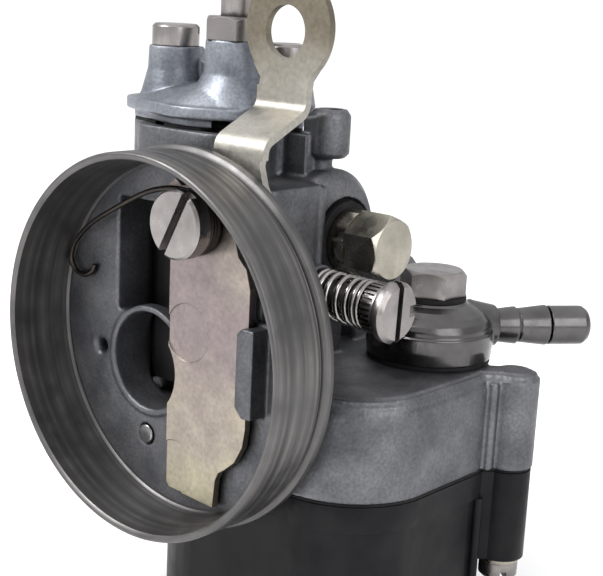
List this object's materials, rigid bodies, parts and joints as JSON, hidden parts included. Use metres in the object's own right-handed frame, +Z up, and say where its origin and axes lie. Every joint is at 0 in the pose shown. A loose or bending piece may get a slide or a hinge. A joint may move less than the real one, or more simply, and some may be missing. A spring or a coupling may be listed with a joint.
{
  "type": "carburetor",
  "caption": "Side-draught slide carburetor for a small moped: open filter ring with choke plate, cable adjuster, fuel banjo, float bowl and engine clamp.",
  "frame": {"origin": "centre of the filter ring's front edge", "axes": "+Y from the filter ring towards the engine clamp, +X towards the fuel inlet, +Z up"},
  "size_m": [0.0731, 0.074, 0.118],
  "materials": {
    "casting": "cast, matt",
    "plated_screw": "zinc plated",
    "plated_sheet": "zinc plated sheet",
    "slide_metal": "satin",
    "spring_steel": "drawn wire",
    "dark_spring": "dark oiled wire",
    "brass": "turned",
    "gasket": "matt",
    "bowl_plastic": "satin moulded",
    "filter_mesh": "fine mesh"
  },
  "bodies": {
    "carburetor": {"body": "casting", "passage_plug": "plated_screw", "chamber_cap": "casting", "cap_gasket": "gasket", "cap_screws": "plated_screw", "adjuster_lock_nut": "plated_screw", "throttle_spring": "spring_steel", "choke_spring": "dark_spring", "idle_screw_spring": "spring_steel", "side_plug": "plated_screw", "side_plug_washer": "gasket", "main_jet": "brass", "idle_jet": "brass", "atomizer": "brass", "valve_seat": "brass", "float_pin": "spring_steel", "fuel_banjo": "casting", "banjo_bolt": "plated_screw", "banjo_washers": "gasket", "fuel_filter": "filter_mesh", "float_bowl": "bowl_plastic", "bowl_gasket": "gasket", "bowl_screws": "plated_screw", "bowl_screw_washers": "plated_screw", "clamp_screw": "plated_screw", "clamp_nut": "plated_screw"},
    "choke": {"choke_plate": "plated_sheet", "choke_lever": "plated_sheet", "choke_pivot_screw": "plated_screw"},
    "slide": {"throttle_slide": "slide_metal"},
    "idle_screw": {"idle_speed_screw": "plated_screw"},
    "adjuster": {"cable_adjuster": "plated_screw"},
    "float_arm": {"float": "bowl_plastic"},
    "needle": {"float_needle": "brass"}
  },
  "joints": [
    {"name": "choke_turn", "type": "hinge", "parent": "carburetor", "child": "choke", "pos_m": [0.005, 0.0115, 0.0203], "axis": [0, 1, 0], "range_deg": [0, 32.5], "stiffness_Nm_per_rad": 0.02, "springref_deg": -28.65, "deforming": ["choke_spring"]},
    {"name": "slide_lift", "type": "slide", "parent": "carburetor", "child": "slide", "axis": [0, 0, 1], "range_m": [0, 0.0155], "stiffness_N_per_m": 200, "springref_m": -0.02, "deforming": ["throttle_spring"]},
    {"name": "idle_screw_turn", "type": "hinge", "parent": "carburetor", "child": "idle_screw", "pos_m": [0.0182, 0.024, 0.00945], "axis": [0.9995, 0, -0.0332], "range_deg": [-540, 540]},
    {"name": "adjuster_turn", "type": "hinge", "parent": "carburetor", "child": "adjuster", "pos_m": [-0.005, 0.0272, 0.06], "axis": [0, 0, 1], "range_deg": [-720, 720]},
    {"name": "float_drop", "type": "hinge", "parent": "carburetor", "child": "float_arm", "pos_m": [0.0218, 0.0545, -0.0175], "axis": [1, 0, 0], "range_deg": [0, 9]},
    {"name": "needle_drop", "type": "slide", "parent": "carburetor", "child": "needle", "axis": [0, 0, -1], "range_m": [0, 0.00074]}
  ],
  "couplings": [
    {"joint": "needle_drop", "follows": "float_drop", "m_per_rad": 0.0047}
  ]
}
